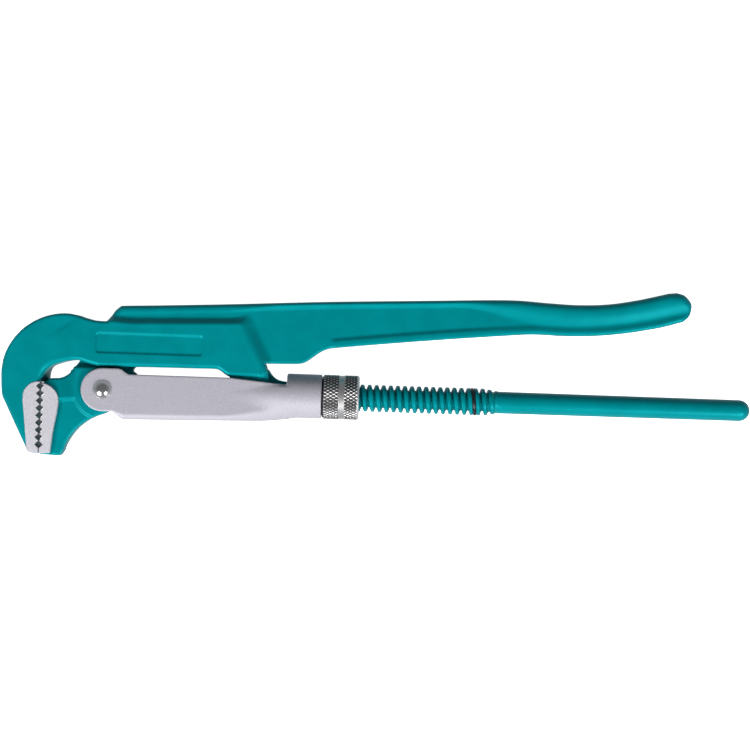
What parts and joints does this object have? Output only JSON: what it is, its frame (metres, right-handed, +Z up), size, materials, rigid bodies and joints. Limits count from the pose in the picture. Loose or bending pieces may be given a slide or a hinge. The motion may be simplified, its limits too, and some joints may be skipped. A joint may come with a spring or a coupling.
{
  "type": "pipe wrench",
  "caption": "Bent-nose pipe wrench: forged hook jaw and slotted handle, toothed lower jaw on a sliding yoke, knurled adjusting nut on a coarse threaded bar handle.",
  "frame": {"origin": "middle of the underside of the whole tool, lying flat with its jaws closed", "axes": "+X from the jaws to the handle ends along the screw, +Y across the tool from the screw to the upper handle, +Z up out of the flat side"},
  "size_m": [0.4232, 0.1034, 0.026],
  "materials": {
    "teal_enamel": "stove enamel over forged steel, semi-gloss",
    "satin_silver": "satin plated pressed steel, finely speckled",
    "bright_plated": "bright plated, knurled",
    "polished_steel": "polished",
    "black_wire": "blackened spring wire"
  },
  "bodies": {
    "upper_leg": {"upper_leg": "teal_enamel", "leg_pin": "polished_steel"},
    "lower_leg": {"lower_leg": "teal_enamel", "thread_stop_ring": "black_wire"},
    "yoke": {"yoke": "satin_silver", "jaw_rivet": "polished_steel"},
    "lower_jaw": {"lower_jaw": "teal_enamel"},
    "adjusting_nut": {"adjusting_nut": "bright_plated", "nut_retaining_ring": "black_wire"}
  },
  "joints": [
    {"name": "leg_squeeze", "type": "hinge", "parent": "upper_leg", "child": "lower_leg", "pos_m": [-0.0697, -0.0131, 0.013], "axis": [0, 0, 1], "range_deg": [0, 4]},
    {"name": "yoke_slide", "type": "slide", "parent": "lower_leg", "child": "yoke", "axis": [1, 0, 0], "range_m": [0, 0.056]},
    {"name": "nut_turn", "type": "hinge", "parent": "yoke", "child": "adjusting_nut", "pos_m": [-0.0197, -0.0136, 0.013], "axis": [1, 0, 0], "range_deg": [0, 5040]},
    {"name": "jaw_rock", "type": "hinge", "parent": "yoke", "child": "lower_jaw", "pos_m": [-0.1537, -0.0136, 0.013], "axis": [0, 0, 1], "range_deg": [0, 3]}
  ],
  "couplings": [
    {"joint": "nut_turn", "follows": "yoke_slide", "rad_per_m": 1570.8}
  ]
}
